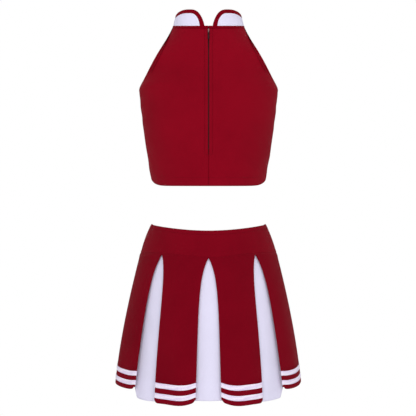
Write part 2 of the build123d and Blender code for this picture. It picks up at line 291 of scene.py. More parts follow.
def torso_path(side, across, low, high):
    """A line down the back at this distance from the centre."""
    level = np.linspace(high, low, 160)
    ring = edge_half_width(level) / np.sin(edge_angle(level))
    points = torso_point(np.arcsin(across / ring), level)
    points[:, 0] *= side
    return points


def neck_height(angle):
    front = np.maximum(-np.cos(angle), 0.0)
    drop = (NECK_BACK_DROP + NECK_FRONT_DROP) * front**1.6
    return NECK_SIDE - NECK_BACK_DROP * np.cos(angle) - drop


def neck_level(share, middle, below):
    """The height of the shell this far below the neck seam, at a share of a half turn."""
    level = np.full_like(share, NECK_SIDE)
    for _ in range(40):
        level = neck_height(middle + share * edge_angle(level)) - below
    return level


def hem_height(angle):
    """The top's hem is level and turns up sharply at the side seams."""
    return TOP_HEM + HEM_CORNER_RISE * np.abs(np.sin(angle)) ** 14


def collar_point(angle, height, inside):
    """A place on the collar, which leans inwards as it rises from the neck seam."""
    base = torso_point(angle, neck_height(angle), inside + COLLAR_LEAN * height)
    base[..., 0] *= 1 - COLLAR_NARROWING * height
    return base + stack(0.0, 0.0, height)


ZIP_ALONG = np.array([0.0, ZIP_TOP_Y - ZIP_BOTTOM_Y, ZIP_TOP - ZIP_BOTTOM])
ZIP_LENGTH = float(np.linalg.norm(ZIP_ALONG))
ZIP_ALONG = ZIP_ALONG / ZIP_LENGTH
ZIP_OUT = np.array([0.0, -ZIP_ALONG[2], ZIP_ALONG[1]])


def zip_point(x, along, out):
    """A point in the zip's own axes: across, up along it, and out from the cloth."""
    x, along, out = np.broadcast_arrays(x, along, out)
    place = np.array([0.0, ZIP_BOTTOM_Y, ZIP_BOTTOM])
    across = np.array([1.0, 0.0, 0.0])
    return place + x[..., None] * across + along[..., None] * ZIP_ALONG + out[..., None] * ZIP_OUT


def place_on_side(points, side):
    """Mirrors a grid for the wearer's left, with its columns still going to the right."""
    points = points * [side, 1, 1]
    return points if side > 0 else points[::-1]


# -------------------- materials


class Nodes:
    """Short forms of the few shader nodes that the materials here need."""

    def __init__(self, name):
        self.material = bpy.data.materials.new(name)
        self.material.use_nodes = True
        self.tree = self.material.node_tree
        self.shader = self.tree.nodes["Principled BSDF"]

    def add(self, kind, **settings):
        node = self.tree.nodes.new(kind)
        for key, value in settings.items():
            setattr(node, key, value)
        return node

    def link(self, source, target):
        self.tree.links.new(source, target)

    def math(self, operation, first, second=None):
        node = self.add("ShaderNodeMath", operation=operation)
        for socket, value in zip(node.inputs, (first, second)):
            if value is None:
                continue
            if isinstance(value, (int, float)):
                socket.default_value = value
            else:
                self.link(value, socket)
        return node.outputs[0]

    def noise(self, source, scale, detail=3.0, roughness=0.5):
        node = self.add("ShaderNodeTexNoise")
        node.inputs["Scale"].default_value = scale
        node.inputs["Detail"].default_value = detail
        node.inputs["Roughness"].default_value = roughness
        self.link(source, node.inputs["Vector"])
        return node.outputs["Fac"]

    def ramp(self, source, stops):
        node = self.add("ShaderNodeValToRGB")
        elements = node.color_ramp.elements
        while len(elements) < len(stops):
            elements.new(0.5)
        for element, (place, color) in zip(elements, stops):
            element.position = place
            element.color = (*color, 1)
        self.link(source, node.inputs["Fac"])
        return node.outputs["Color"]

    def bump(self, height, distance, strength=1.0, after=None):
        node = self.add("ShaderNodeBump")
        node.inputs["Strength"].default_value = strength
        node.inputs["Distance"].default_value = distance
        self.link(height, node.inputs["Height"])
        if after is not None:
            self.link(after, node.inputs["Normal"])
        return node.outputs["Normal"]

    def mottle(self, tone, color, low, high, spread, rough):
        """Colour and roughness that follow a noise; low and high are a place and a factor."""
        stops = [(place, shade(color, factor)) for place, factor in (low, high)]
        self.link(self.ramp(tone, stops), self.shader.inputs["Base Color"])
        varied = self.math("ADD", self.math("MULTIPLY", tone, spread), rough)
        self.link(varied, self.shader.inputs["Roughness"])

    def coordinates(self, which):
        return self.add("ShaderNodeTexCoord").outputs[which]

    def uv_axes(self):
        split = self.add("ShaderNodeSeparateXYZ")
        self.link(self.coordinates("UV"), split.inputs[0])
        return split.outputs["X"], split.outputs["Y"]


def shade(color, factor):
    """A lighter or a darker form of a colour."""
    return tuple(min(channel * factor, 1.0) for channel in color)


def knit(name, color, pitch_mm, dark=0.86, light=1.1, sheen=0.2):
    """A double knit: wales and courses in relief, a mottled dye and a soft sheen."""
    n = Nodes(name)
    place = n.coordinates("Object")
    mottle = n.noise(place, 9.0, 4.0, 0.6)
    fine = n.noise(place, 420.0, 2.0)
    tone = n.math("ADD", n.math("MULTIPLY", mottle, 0.7), n.math("MULTIPLY", fine, 0.3))
    stops = [(0.3, shade(color, dark)), (0.5, color), (0.72, shade(color, light))]
    n.link(n.ramp(tone, stops), n.shader.inputs["Base Color"])
    along, down = n.uv_axes()
    turns = 2 * pi / (pitch_mm * MM)
    wale = n.math("SINE", n.math("MULTIPLY", along, turns))
    slant = n.math("MULTIPLY", n.math("ABSOLUTE", wale), 1.6)
    course = n.math("SINE", n.math("ADD", n.math("MULTIPLY", down, turns), slant))
    loops = n.math("ADD", n.math("MULTIPLY", wale, 0.5), n.math("MULTIPLY", course, 0.35))
    slub = n.bump(n.noise(place, 160.0, 3.0), 0.0004, 0.35)
    n.link(n.bump(loops, 0.00022, 0.8, slub), n.shader.inputs["Normal"])
    n.link(n.math("ADD", n.math("MULTIPLY", fine, 0.14), 0.65), n.shader.inputs["Roughness"])
    n.shader.inputs["Sheen Weight"].default_value = sheen
    n.shader.inputs["Sheen Roughness"].default_value = 0.45
    n.shader.inputs["Sheen Tint"].default_value = (*shade(color, 1.6), 1)
    n.shader.inputs["Specular IOR Level"].default_value = 0.12
    n.shader.inputs["Specular Tint"].default_value = (*shade(color, 4.0), 1)
    return n.material


def satin(name, light, lilac):
    """Satin ribbon: fine threads along it, long streaks lighter and deeper than its own pale lilac that are
    painted sheen and shade, and a gloss.
    """
    n = Nodes(name)
    along, down = n.uv_axes()
    join = n.add("ShaderNodeCombineXYZ")
    n.link(n.math("MULTIPLY", along, 22.0), join.inputs["X"])
    n.link(n.math("MULTIPLY", down, 150.0), join.inputs["Y"])
    # Painted sheen and shade: long streaks of lighter and deeper lilac along the ribbon
    painted_sheen_streak = n.noise(join.outputs[0], 1.0, 3.0, 0.6)
    n.link(n.ramp(painted_sheen_streak, [(0.32, lilac), (0.55, light), (1.0, light)]), n.shader.inputs["Base Color"])
    threads = n.math("SINE", n.math("MULTIPLY", down, 2 * pi / (0.35 * MM)))
    n.link(n.bump(threads, 0.00005, 0.5), n.shader.inputs["Normal"])
    n.link(n.math("ADD", n.math("MULTIPLY", painted_sheen_streak, 0.15), 0.3), n.shader.inputs["Roughness"])
    n.shader.inputs["Sheen Weight"].default_value = 0.15
    n.shader.inputs["Specular IOR Level"].default_value = 0.5
    return n.material


def woven(name, color, pitch_mm, rough=0.7):
    """A plain woven tape."""
    n = Nodes(name)
    along, down = n.uv_axes()
    turns = 2 * pi / (pitch_mm * MM)
    warp = n.math("SINE", n.math("MULTIPLY", along, turns))
    weft = n.math("SINE", n.math("MULTIPLY", down, turns))
    n.link(n.bump(n.math("MULTIPLY", warp, weft), 0.00015, 0.8), n.shader.inputs["Normal"])
    tone = n.noise(n.coordinates("Object"), 60.0)
    n.mottle(tone, color, (0.3, 0.8), (0.7, 1.15), 0.1, rough - 0.05)
    n.shader.inputs["Specular IOR Level"].default_value = 0.1
    return n.material


def metal(name, color):
    """Plated metal, a little worn and scratched."""
    n = Nodes(name)
    wear = n.noise(n.coordinates("Object"), 900.0, 4.0, 0.7)
    n.mottle(wear, color, (0.35, 0.75), (0.7, 1.25), 0.25, 0.28)
    n.link(n.bump(wear, 0.00003, 0.4), n.shader.inputs["Normal"])
    n.shader.inputs["Metallic"].default_value = 0.6
    n.shader.inputs["Specular IOR Level"].default_value = 0.2
    return n.material


def plastic(name, color):
    """Moulded nylon with a dull gloss."""
    n = Nodes(name)
    n.shader.inputs["Specular IOR Level"].default_value = 0.2
    tone = n.noise(n.coordinates("Object"), 500.0)
    n.mottle(tone, color, (0.3, 0.85), (0.7, 1.15), 0.12, 0.4)
    return n.material


MAROON = (0.225, 0.0025, 0.011)
MAROON_DEEP = (0.175, 0.002, 0.009)
WHITE = (0.75, 0.72, 0.90)
maroon_top = knit("maroon_top_knit", MAROON, 1.1)
maroon_skirt = knit("maroon_skirt_knit", MAROON_DEEP, 1.1)
maroon_yoke = knit("maroon_yoke_knit", (0.192, 0.0022, 0.0098), 1.1)
white_knit = knit("white_knit", WHITE, 1.1, dark=0.95, light=1.04, sheen=0.1)
maroon_trim = knit("maroon_trim", (0.19, 0.0005, 0.007), 0.8, sheen=0.1)
# A lighter and a deeper lilac round the ribbon's own colour: the streaks between them are painted sheen and
# shade
ribbon_satin = satin("ribbon_satin", (0.84, 0.77, 0.9), (0.62, 0.5, 0.76))
tape_weave = woven("zip_tape_weave", (0.13, 0.004, 0.009), 0.7)
elastic_weave = woven("elastic_weave", (0.8, 0.79, 0.82), 1.6)
coil_plastic = plastic("coil_plastic", (0.02, 0.002, 0.004))
slider_metal = metal("slider_metal", (0.2, 0.115, 0.12))
pull_metal = metal("pull_metal", (0.014, 0.004, 0.005))
maroon_thread = woven("maroon_thread", (0.13, 0.001, 0.006), 0.4, 0.75)


# -------------------- mesh building


def make_object(name, vertices, faces, material, uv):
    """A mesh from points in millimetres; uv gives each point a place on the flat cloth."""
    mesh = bpy.data.meshes.new(name)
    mesh.from_pydata((np.asarray(vertices) * MM).tolist(), [], faces)
    layer = mesh.uv_layers.new(name="cloth")
    loops = np.zeros(len(mesh.loops), np.int32)
    mesh.loops.foreach_get("vertex_index", loops)
    layer.data.foreach_set("uv", (np.asarray(uv)[loops] * MM).ravel())
    mesh.shade_smooth()
    mesh.materials.append(material)
    piece = bpy.data.objects.new(name, mesh)
    bpy.context.scene.collection.objects.link(piece)
    return piece


def lengths(points, axis):
    """The length of cloth from the first row or column to each point."""
    steps = np.linalg.norm(np.diff(points, axis=axis), axis=-1)
    start = np.zeros_like(np.take(steps, [0], axis=axis))
    return np.concatenate([start, np.cumsum(steps, axis=axis)], axis=axis)


def cloth(name, points, material, thickness, closed=False):
    """A sheet from a grid of points: columns towards the wearer's right, rows downwards."""
    columns, rows = points.shape[:2]
    index = np.arange(columns * rows).reshape(columns, rows)
    nxt = np.roll(index, -1, axis=0) if closed else index[1:]
    now = index if closed else index[:-1]
    quads = np.stack([now[:, :-1], now[:, 1:], nxt[:, 1:], nxt[:, :-1]], axis=-1).reshape(-1, 4)
    uv = np.stack([lengths(points, 0), lengths(points, 1)], axis=-1).reshape(-1, 2)
    piece = make_object(name, points.reshape(-1, 3), quads.tolist(), material, uv)
    if thickness > 0:
        shell = piece.modifiers.new("thickness", "SOLIDIFY")
        shell.thickness = thickness * MM
        shell.offset = -1
        shell.use_rim = True
    width = float(lengths(points, 0)[-1].max())
    length = float(lengths(points, 1)[:, -1].max())
    piece["flat_size"] = (width * MM, length * MM)
    return piece


def declare_sheet(piece):
    width, length = (max(size, NARROWEST_SHEET) for size in piece["flat_size"])
    surface = sum(polygon.area for polygon in piece.data.polygons)
    surface = max(surface, LEAST_AREA_SHARE * width * length)


def finish_piece(piece, body, nodes, held=None):
    """Puts a piece on a body, in place of its CAD nodes; if held is given, the sheet's size and area are
    worked out.
    """
    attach(piece, body)
    if nodes:
        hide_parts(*nodes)
    if held:
        declare_sheet(piece)


def bend_at_fold(piece, nodes, held=None):
    """Like finish_piece, but leaves the piece on no body, with its place baked into its mesh; used for what
    lies on the top up to the fold and on a flap beyond it.
    """
    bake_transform(piece)
    if nodes:
        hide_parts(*nodes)
    if held:
        declare_sheet(piece)


def stitches(name, path, outward, length=2.5, gap=0.8, radius=0.26, lift=0.1):
    """A row of sewn stitches along a path: each is a small spindle of thread."""
    path = np.asarray(path, float)
    outward = np.broadcast_to(np.asarray(outward, float), path.shape)
    along = np.concatenate([[0], np.cumsum(np.linalg.norm(np.diff(path, axis=0), axis=1))])
    count = max(int(along[-1] // (length + gap)), 1)
    vertices, faces = [], []
    sides = 5
    rings = ((-0.32, 0.8), (0.0, 1.0), (0.32, 0.8))
    for k in range(count):
        centre_at = (k + 0.5) * along[-1] / count
        samples = centre_at + np.array([-0.5, 0.5]) * length
        tips = np.stack([np.interp(samples, along, path[:, a]) for a in range(3)], axis=1)
        out = np.array([np.interp(centre_at, along, outward[:, a]) for a in range(3)])
        out = out / np.linalg.norm(out)
        forward = tips[1] - tips[0]
        forward = forward / np.linalg.norm(forward)
        sideways = np.cross(forward, out)
        middle = tips.mean(axis=0) + out * (lift + radius * 0.4)
        base = len(vertices)
        vertices.append(tips[0] - out * radius * 0.5)
        for share, swell in rings:
            for s in range(sides):
                turn = 2 * pi * s / sides
                offset = sideways * np.cos(turn) + out * np.sin(turn)
                vertices.append(middle + forward * share * length + offset * radius * swell)
        vertices.append(tips[1] - out * radius * 0.5)
        last = base + 1 + sides * len(rings)
        for s in range(sides):
            t = (s + 1) % sides
            faces.append((base, base + 1 + t, base + 1 + s))
            for r in range(len(rings) - 1):
                low = base + 1 + r * sides
                faces.append((low + s, low + t, low + sides + t, low + sides + s))
            top = last - sides
            faces.append((top + s, top + t, last))
    uv = np.asarray(vertices)[:, [0, 2]]
    return make_object(name, vertices, faces, maroon_thread, uv)


# -------------------- yoke


def yoke_edges(turn):
    return waist_drop(turn), YOKE_DEPTH - seam_rise(turn)


def make_yoke_face(name, middle):
    """Half of the yoke: a turned waist edge, a rolled seam edge and faint waves."""
    share = np.linspace(-1, 1, 121)[:, None]
    turn = middle + share * pi / 2
    top, bottom = yoke_edges(turn)
    down = np.linspace(0, 1, 61)[None, :]
    drop = mix(top, bottom, 0.5 * smooth(down) + 0.5 * down)
    above_seam = bottom - drop
    under_edge = drop - top
    seam_roll = 0.4 * fade(above_seam, 0.8) - 0.5 * bell(above_seam - 3.0, 3.0)
    turned_edge = 1.0 * fade(under_edge, 0.7)
    stitch_line = 0.25 * bell(under_edge - WAIST_STITCH_DROP, 1.2)
    waves = 0.35 * np.sin(turn * 5 + drop * 0.03) * smooth(under_edge / 30)
    side_dent = 0.6 * fade((1 - np.abs(share)) * 190, 1.5)
    inside = seam_roll + turned_edge + stitch_line + waves + side_dent
    piece = cloth(f"yoke_{name}_cloth", skirt_point(turn, drop, inside), maroon_yoke, 1.0)
    finish_piece(piece, "skirt_waist", [f"yoke_{name}"], "stretched")


def make_yoke_facing(name, middle):
    """Half of the yoke's lining, which meets the face at the waist edge."""
    turn = middle + np.linspace(-1, 1, 121)[:, None] * pi / 2
    top, bottom = yoke_edges(turn)
    drop = mix(top + 0.4, bottom - 0.8, np.linspace(0, 1, 31)[None, :])
    points = skirt_point(turn, drop, 2.5 - 1.3 * fade(drop - top, 1.2))
    piece = cloth(f"yoke_{name}_facing_cloth", points, maroon_top, 0.6)
    finish_piece(piece, "skirt_waist", [f"yoke_facing_{name}"], "stretched")


def make_waist_elastic():
    """A ribbed band between the yoke's two layers."""
    ribs = 8
    turn = np.linspace(0, 2 * pi, 360, endpoint=False)[:, None]
    down = np.linspace(0, 1, 50)[None, :]
    drop = waist_drop(turn) + ELASTIC_TOP + ELASTIC_DEPTH * down
    points = skirt_point(turn, drop, 1.5 + 0.2 * np.sin(down * 2 * pi * ribs))
    band = cloth("waist_elastic_band", points, elastic_weave, 0.5, closed=True)
    finish_piece(band, "skirt_waist", ["waist_elastic"])


def make_waist_stitching():
    turn = np.linspace(0, 2 * pi, 500)
    path = skirt_point(turn, waist_drop(turn) + WAIST_STITCH_DROP)
    rows = stitches("waist_stitching", path, path * OUTWARD, lift=-0.1)
    finish_piece(rows, "skirt_waist", [])


# -------------------- panels and ribbons


def panel_half(below):
    """Half the panel's width in millimetres, from its middle to its folded edge."""
    drop = YOKE_DEPTH + below
    unit = (skirt_half_width(drop) + skirt_half_depth(drop)) / 2 * UNIT_ANGLE
    return unit / 2 - opening_half_width(below)


def panel_frame(number, across, below, inside):
    """Points of a panel at these distances from its middle line."""
    middle = (number - 0.5) * UNIT_ANGLE
    drop = YOKE_DEPTH + below
    turn = middle + turn_for(across, drop)
    share = below / PANEL_LENGTH
    side = np.clip(across / panel_half(below), -1, 1)
    to_front = np.sign(np.sin(middle)) * side
    bow = (HEM_BOW - HEM_TILT * to_front) * side**2 * share**2
    points = skirt_point(turn, drop, inside)
    points[..., 2] += mix(seam_rise(turn), side_rise(turn, PANEL_FLARE_START), share) + bow
    return points


def panel_relief(number, across, half, below):
    """How far the panel's face lies inside the skirt's plain shape; below 0 is outside."""
    share = below / PANEL_LENGTH
    phase = number * 2.4
    belly = (0.8 + 4.2 * share) * (1 - np.clip(np.abs(across) / half, 0, 1) ** 2)
    wide_ripple = 1.3 * share * np.sin(across * 0.055 + phase + below * 0.008)
    fine_ripple = 0.8 * share * np.sin(across * 0.11 - below * 0.013 + phase * 1.7)
    tucked_edge = 1.5 / (1 + np.exp((below - 0.2) / 0.35))
    seam_puff = 0.5 * bell(below - 6, 5)
    return -belly + (wide_ripple + fine_ripple) + (tucked_edge - seam_puff)


def widen(number, across, below):
    """The two panels at centre back hang a little wider on their outer edges."""
    side = {1: 1, UNITS: -1}.get(number, 0)
    reach = np.clip(side * across / panel_half(below), 0, 1) ** 2
    opened = 1 - np.exp(-np.maximum(below, 0.0) / 30)
    return across + side * reach * BACK_PANEL_EXTRA * opened


def fold_radius(below):
    """The pleats are pressed hard at the seam and rounder at the hem."""
    return mix(SEAM_FOLD_RADIUS, HEM_FOLD_RADIUS, below / PANEL_LENGTH)


def fold_layout(half, radius, turn_in, turn_steps, fold_steps, face_steps):
    """Places across a panel: turned edge, rolled fold, face, and the same back again.

    Each is a distance from the panel's middle and a depth behind its face.
    """
    left = []
    for t in np.linspace(1, 0.12, turn_steps):
        left.append((-half + turn_in * t, 2 * radius + 0.25 * t))
    for angle in np.linspace(0.95, 0.05, fold_steps) * pi:
        left.append((-half - radius * np.sin(angle), radius * (1 - np.cos(angle))))
    right = [(-across, depth) for across, depth in left[::-1]]
    face = [(f * half, np.zeros_like(half)) for f in np.linspace(-1, 1, face_steps)]
    return left + face + right


def make_panel(number):
    below = mix(-TUCK, PANEL_LENGTH, np.linspace(0, 1, 111) ** 1.15)[None, :]
    half = panel_half(below)
    share = below / PANEL_LENGTH
    near_hem = smooth((share - 0.93) / 0.07)
    grid = []
    for across, depth in fold_layout(half, fold_radius(below), mix(5.0, 15.0, share), 8, 7, 57):
        relief = panel_relief(number, np.clip(across, -half, half), half, below)
        from_edge = half - np.abs(across)
        corner = np.clip((HEM_CORNER - from_edge) / HEM_CORNER, 0, 1)
        corner = np.where(depth > 0, 1.0, corner)
        lift = HEM_CORNER * 0.75 * (1 - np.sqrt(1 - corner**2)) * near_hem
        wide = widen(number, across, below)
        grid.append(panel_frame(number, wide, below - lift, relief + depth)[0])
    piece = cloth(f"skirt_panel_{number}_cloth", np.stack(grid), maroon_skirt, 0.7)
    finish_piece(piece, f"panel_{number}", [f"skirt_panel_{number}"], "hung")


def make_ribbon(number, name, start, end):
    """A ribbon sewn over the panel's face and round both of its folds."""
    below = np.linspace(start, end, 13)[None, :]
    half = panel_half(below)
    crown = np.sin(pi * (below - start) / (end - start))
    radius = fold_radius(below) + RIBBON_LIFT
    grid = []
    for across, depth in fold_layout(half, radius, 4.0, 3, 7, 71):
        relief = panel_relief(number, np.clip(across, -half, half), half, below)
        puff = 0.35 * np.maximum(crown, 0.0) ** 0.5
        pucker = 0.2 * np.sin(across * 0.9 + number) * crown
        depth = depth - RIBBON_LIFT - (puff + pucker) * (depth == 0)
        grid.append(panel_frame(number, widen(number, across, below), below, relief + depth)[0])
    piece = cloth(f"ribbon_{number}_{name}", np.stack(grid), ribbon_satin, 0.3)
    nodes = [f"panel_ribbons_{number}"]
    finish_piece(piece, f"panel_{number}", nodes, "stretched")


def make_panel_stitching(number, row, below):
    half = panel_half(below)
    across = np.linspace(-1, 1, 60) * (half - 1)
    relief = panel_relief(number, across, half, below)
    path = panel_frame(number, widen(number, across, below), below, relief)
    rows = stitches(f"panel_{number}_stitching_{row}", path, path * OUTWARD)
    finish_piece(rows, f"panel_{number}", [])


def make_ribbons(number):
    """Two ribbons above the panel's hem, and two rows of stitches above the ribbons."""
    lower_end = PANEL_LENGTH - RIBBON_HEM_DISTANCE
    upper_end = lower_end - RIBBON_HEIGHT - RIBBON_GAP
    make_ribbon(number, "upper", upper_end - RIBBON_HEIGHT, upper_end)
    make_ribbon(number, "lower", lower_end - RIBBON_HEIGHT, lower_end)
    for row, stitch_gap in enumerate(PANEL_STITCH_GAPS, 1):
        make_panel_stitching(number, row, upper_end - RIBBON_HEIGHT - stitch_gap)


def make_inset(number):
    """A white gusset: a belly in the opening, and edges that lie under the panels."""
    middle = (number - 1) * UNIT_ANGLE
    below = np.linspace(1.2, PANEL_LENGTH - INSET_RISE, 91)[None, :]
    drop = YOKE_DEPTH + below
    share = below / PANEL_LENGTH
    half = opening_half_width(below) + mix(UNDERLAY_TOP, UNDERLAY_HEM, share)
    open_half = opening_half_width(below) + 1
    across = np.linspace(-1, 1, 71)[:, None] * half
    turn = middle + turn_for(across, drop)
    recess = mix(4.0, 9.5, share**0.9)
    belly = 2.4 * share * bell(across, open_half * 0.75)
    wave = 0.9 * share * np.sin(across * 0.09 + number * 1.9 + below * 0.01)
    hem_line = 0.35 * bell(PANEL_LENGTH - INSET_RISE - below - 12, 1.0)
    points = skirt_point(turn, drop, recess - belly + wave + hem_line)
    # The edge under a side panel is lifted, so that it doesn't show below that panel's hem.
    to_side = np.sign(round(np.sin(2 * middle), 6)) * across
    tucked = np.where(to_side > 0, 26.0 * smooth((to_side - open_half) / 12.0), 0.0)
    points[..., 2] += mix(seam_rise(turn), inset_hem_rise(turn), share) + tucked * share**6
    piece = cloth(f"skirt_inset_{number}_cloth", points, white_knit, 0.7)
    finish_piece(piece, f"inset_{number}", [f"skirt_inset_{number}"], "hung")


# -------------------- top


def shell_levels(hem, neck):
    """Heights down the shell, close together at the underarm where the edge turns."""
    high = UNDERARM + (neck - UNDERARM) * np.linspace(1, 0, UPPER_ROWS)[None, :] ** 2
    low = mix(UNDERARM, hem, np.linspace(0, 1, LOWER_ROWS + 1)[None, 1:])
    return np.concatenate([high, low], axis=1)


def shell_relief(angle, level, side):
    """Faint strain folds: from the underarm, and across the waist."""
    under_arm = bell(level - 255, 38) * np.abs(np.sin(angle)) ** 3
    pull = 0.5 * under_arm * np.sin(level * 0.16 + np.abs(angle) * 5 + side)
    at_waist = bell(level - 135, 34)
    slack = 0.7 * at_waist * np.sin(level * 0.1 + np.cos(angle * 3 + side) * 1.3)
    return pull + slack


def turned_edges(share, level, hem):
    """The shell's side and bottom edges roll inwards."""
    side_roll = 0.6 * fade((1 - np.abs(share)) * 150, 1.2)
    return side_roll + 0.8 * fade(level - hem, 0.9)


def make_back(side_name, side):
    """Half of the back, from the zip to the side seam and the armhole."""
    near_zip = np.linspace(0, 0.06, 10)
    near_seam = np.linspace(0.99, 1, 6)
    share = np.concatenate([near_zip, np.linspace(0.07, 0.985, 90), near_seam])[:, None]
    hem = hem_height(share * pi / 2)
    level = shell_levels(hem, neck_level(share, 0.0, SHELL_BELOW_NECK))
    angle = share * edge_angle(level)
    across = torso_point(angle, level)[..., 0]
    beside_zip = smooth((level - ZIP_BOTTOM + 6) / 8)
    relief = shell_relief(angle, level, side) * smooth(across / 30)
    zip_roll = mix(0.9, 0.5, beside_zip) * fade(across, mix(0.9, 0.7, beside_zip))
    step = 0.25 * smooth((across - PLACKET + 0.8) / 1.2)
    stitch_groove = 0.8 * bell(across - PLACKET + 0.4, 1.1)
    hem_line = 0.3 * bell(level - hem - HEM_BAND, 0.9)
    inside = relief + zip_roll + (step + stitch_groove) * beside_zip + hem_line
    points = torso_point(angle, level, inside + turned_edges(share, level, hem))
    gap = 0.9 * beside_zip + 0.5 * smooth((level - 365) / 40)
    points[..., 0] += gap * fade(across, 25)
    piece = cloth(f"top_back_{side_name}_cloth", place_on_side(points, side), maroon_top, 0.8)
    nodes = [f"top_back_panel_{side_name}", f"top_back_flap_{side_name}"]
    bend_at_fold(piece, nodes, "stretched")


def make_front():
    share = np.concatenate([[-1, -0.995], np.linspace(-0.985, 0.985, 161), [0.995, 1]])[:, None]
    hem = hem_height(pi + share * pi / 2)
    level = shell_levels(hem, neck_level(share, pi, SHELL_BELOW_NECK))
    angle = pi + share * edge_angle(level)
    inside = shell_relief(angle, level, 2.0) + turned_edges(share, level, hem)
    piece = cloth("top_front_cloth", torso_point(angle, level, inside), maroon_top, 0.8)
    finish_piece(piece, "top", ["top_front_panel"], "stretched")


def make_hem_facings():
    """The turned-up hem, inside the shell."""
    for name, middle in (("back", 0.0), ("front", pi)):
        angle = middle + np.linspace(-0.998, 0.998, 121)[:, None] * pi / 2
        level = hem_height(angle) + mix(HEM_BAND, 0.5, np.linspace(0, 1, 21)[None, :])
        points = torso_point(angle, level, 1.5 + 0.5 * shell_relief(angle, level, 0.0))
        piece = cloth(f"top_hem_{name}_facing_cloth", points, maroon_top, 0.5)
        finish_piece(piece, "top", [f"top_hem_facing_{name}"], "folded")


def armhole_edge(is_back, count):
    """Angles and heights down one edge of an armhole."""
    highest = ARMHOLE_TOP - 2.5
    level = UNDERARM + (highest - UNDERARM) * np.linspace(1, 0, count) ** 1.7
    angle = edge_angle(level)
    return (angle if is_back else pi - angle), level


def make_armhole_facings():
    """A turned edge round each armhole: a rolled rim and a strip inside the shell."""
    # Each is a depth inside the shell and a distance in from the armhole's edge.
    profile = (
        (0.2, 3.2), (0.0, 1.5), (-0.5, 0.5), (-0.65, -0.35), (0.1, -0.9),
        (1.1, -0.75), (1.6, -0.2), (1.9, 2.0), (2.0, 6.0), (2.0, 9.0),
    )
    for side_name, side in SIDES:
        back_angle, back_level = armhole_edge(True, 70)
        front_angle, front_level = armhole_edge(False, 70)
        angle = np.concatenate([back_angle, front_angle[::-1][1:]])
        level = np.concatenate([back_level, front_level[::-1][1:]])
        edge = torso_point(angle, level)
        onto = np.gradient(edge, axis=0)
        onto /= np.linalg.norm(onto, axis=1)[:, None]
        outward = (edge - stack(0.0, centre_y(level), level)) * OUTWARD
        outward /= np.linalg.norm(outward, axis=1)[:, None]
        from_edge = np.cross(onto, outward)
        from_edge /= np.linalg.norm(from_edge, axis=1)[:, None]
        rows = [edge + from_edge * distance - outward * depth for depth, distance in profile]
        points = place_on_side(np.stack(rows, axis=1), side)
        piece = cloth(f"armhole_{side_name}_binding", points, maroon_top, 0.0)
        finish_piece(piece, "top", [f"armhole_facing_{side_name}"], "folded")


def make_top_stitching():
    """One row beside each armhole edge, and one round the top of the turned hem."""
    row_gap = 6.0
    radius = 120.0
    for side_name, side in SIDES:
        for is_back in (True, False):
            angle, level = armhole_edge(is_back, 120)
            keep = level < NECK_SIDE - 8
            angle, level = angle[keep], level[keep]
            shift = row_gap / radius
            path = torso_point(angle - shift if is_back else angle + shift, level)
            path[:, 0] *= side
            name = f"armhole_stitching_{side_name}_{'back' if is_back else 'front'}"
            rows = stitches(name, path, path * OUTWARD, lift=-0.1)
            finish_piece(rows, "top", [])
    angle = np.linspace(0, 2 * pi, 700)
    path = torso_point(angle, hem_height(angle) + HEM_BAND)
    rows = stitches("top_hem_stitching", path, path * OUTWARD, lift=-0.2)
    finish_piece(rows, "top", [])


# -------------------- collar


def collar_outline():
    """The collar's top edge from the zip to centre front: angles and heights."""
    turn = np.linspace(0, 1, 60)
    reach = COLLAR_CREST_X - COLLAR_END_X
    x = COLLAR_END_X + reach * (1 - np.cos(pi / 2 * turn))
    ring = edge_half_width(NECK_SIDE) / np.sin(edge_angle(NECK_SIDE))
    ring_back = edge_half_width(ZIP_TOP) / np.sin(edge_angle(ZIP_TOP))
    near = np.arcsin(x / mix(ring_back, ring, 0.3))
    from_crest = (COLLAR_CREST_X - x) / reach
    near_height = COLLAR_CREST_HEIGHT * (1 - from_crest**2.7) ** 0.75
    far = mix(near[-1], pi, np.linspace(0, 1, 101)[1:])
    lowered = smooth((np.sin(far / 2) ** 2 - 0.1) / 0.4)
    far_height = mix(COLLAR_CREST_HEIGHT, COLLAR_SIDE_HEIGHT, lowered)
    return np.concatenate([near, far]), np.concatenate([near_height, far_height])


def collar_sheet(angle, height, depth):
    """One of the collar's two white layers, bulging a little between its edges."""
    up = np.linspace(1, 0, 21)[None, :]
    level = mix(0.5, np.maximum(height - 1.5, 0.8)[:, None], up)
    bulge = 0.7 * np.sin(pi * up) * smooth(height[:, None] / 15)
    return collar_point(angle[:, None], level, depth - bulge)


def collar_binding(angle, height):
    """A folded strip over the collar's edge."""
    # Each is a distance in from the edge and a depth inside the collar's outer face.
    profile = (
        (8.3, 0.3), (8.2, -0.45), (7.4, -0.75), (4.4, -0.9), (1.4, -0.75), (0.2, -0.3),
        (-0.4, 0.8), (-0.3, 1.7), (0.4, 2.5), (2.0, 2.9), (7.0, 2.9), (8.0, 2.6),
    )
    along = angle * COLLAR_RADIUS
    tangent = np.stack([np.gradient(along), np.gradient(height)], axis=1)
    tangent /= np.linalg.norm(tangent, axis=1)[:, None]
    rows = []
    for distance, depth in profile:
        moved = along + tangent[:, 1] * distance
        level = np.maximum(height - tangent[:, 0] * distance, 0.6)
        rows.append(collar_point(moved / COLLAR_RADIUS, level, depth))
    return np.stack(rows, axis=1)


def neck_piping(angle):
    """A half roll of cloth along the neck seam."""
    rolls = np.linspace(1, -1, 13)[None, :]
    depth = 0.5 - 1.3 * np.sqrt(1 - (0.96 * rolls) ** 2)
    return collar_point(angle[:, None], 3.0 * rolls - 1.2, depth)


